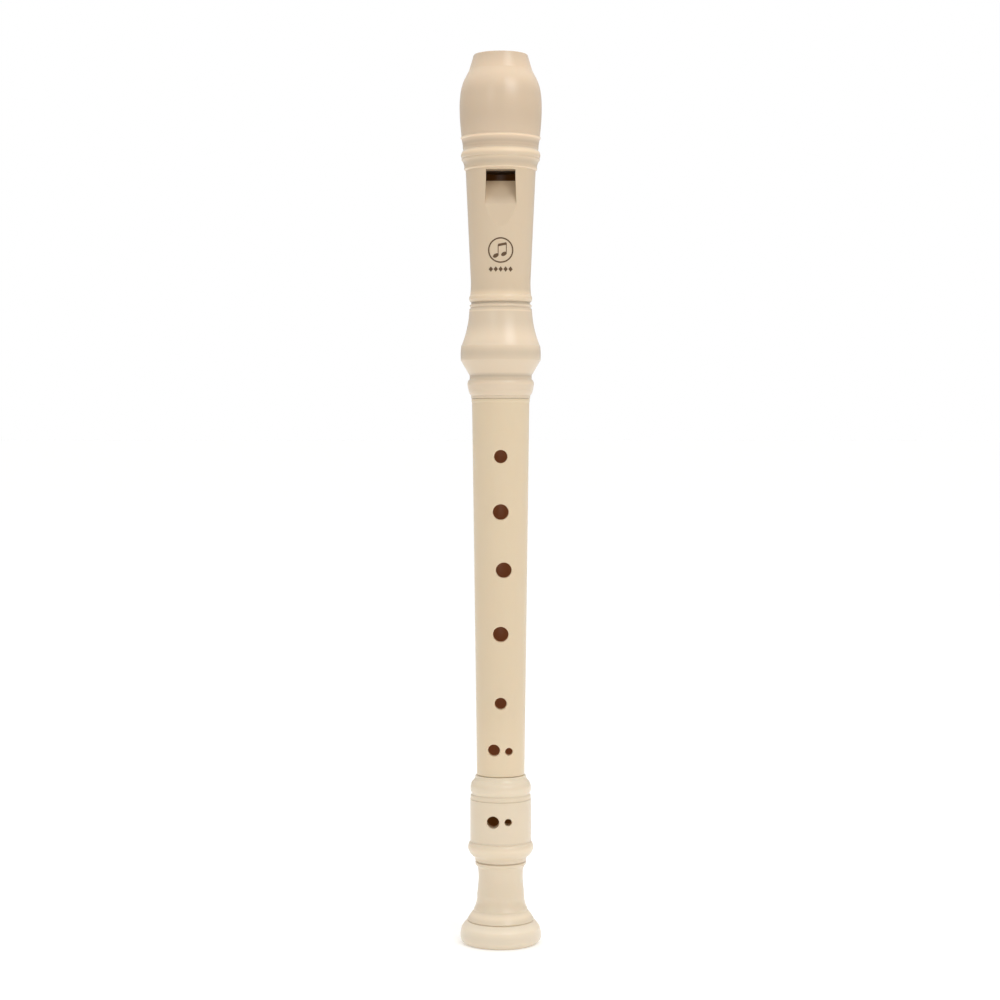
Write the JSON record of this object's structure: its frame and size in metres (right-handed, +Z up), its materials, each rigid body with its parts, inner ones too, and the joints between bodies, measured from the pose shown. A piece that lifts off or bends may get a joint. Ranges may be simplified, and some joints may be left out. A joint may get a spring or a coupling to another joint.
{
  "type": "soprano recorder",
  "caption": "Soprano recorder in jointed sections: beaked head with windway, window and labium, tapering body with finger holes, and a turned foot.",
  "frame": {"origin": "centre of the foot's flat bottom, on the axis of the bore", "axes": "+Z up along the bore to the beak, -Y the side with the window and the finger holes, +Y the side with the thumb hole"},
  "size_m": [0.0304, 0.0304, 0.33],
  "materials": {
    "head_plastic": "glossy ivory moulded plastic",
    "body_plastic": "satin ivory moulded plastic",
    "foot_plastic": "glossy ivory moulded plastic",
    "block_plastic": "plain ivory moulded plastic",
    "mark_ink": "dark brown pad-printed ink"
  },
  "bodies": {
    "middle_joint": {"middle_tube": "body_plastic"},
    "head_joint": {"head_tube": "head_plastic", "beak_cap": "head_plastic", "block": "block_plastic", "socket_sleeve": "head_plastic"},
    "foot_joint": {"foot_tube": "foot_plastic", "foot_socket_ring": "foot_plastic", "foot_ring": "foot_plastic"}
  },
  "joints": [
    {"name": "head_slide", "type": "slide", "parent": "middle_joint", "child": "head_joint", "axis": [0, 0, 1], "range_m": [0, 0.026]},
    {"name": "foot_twist", "type": "hinge", "parent": "middle_joint", "child": "foot_joint", "pos_m": [0, 0, 0.05], "axis": [0, 0, 1], "continuous": true}
  ]
}
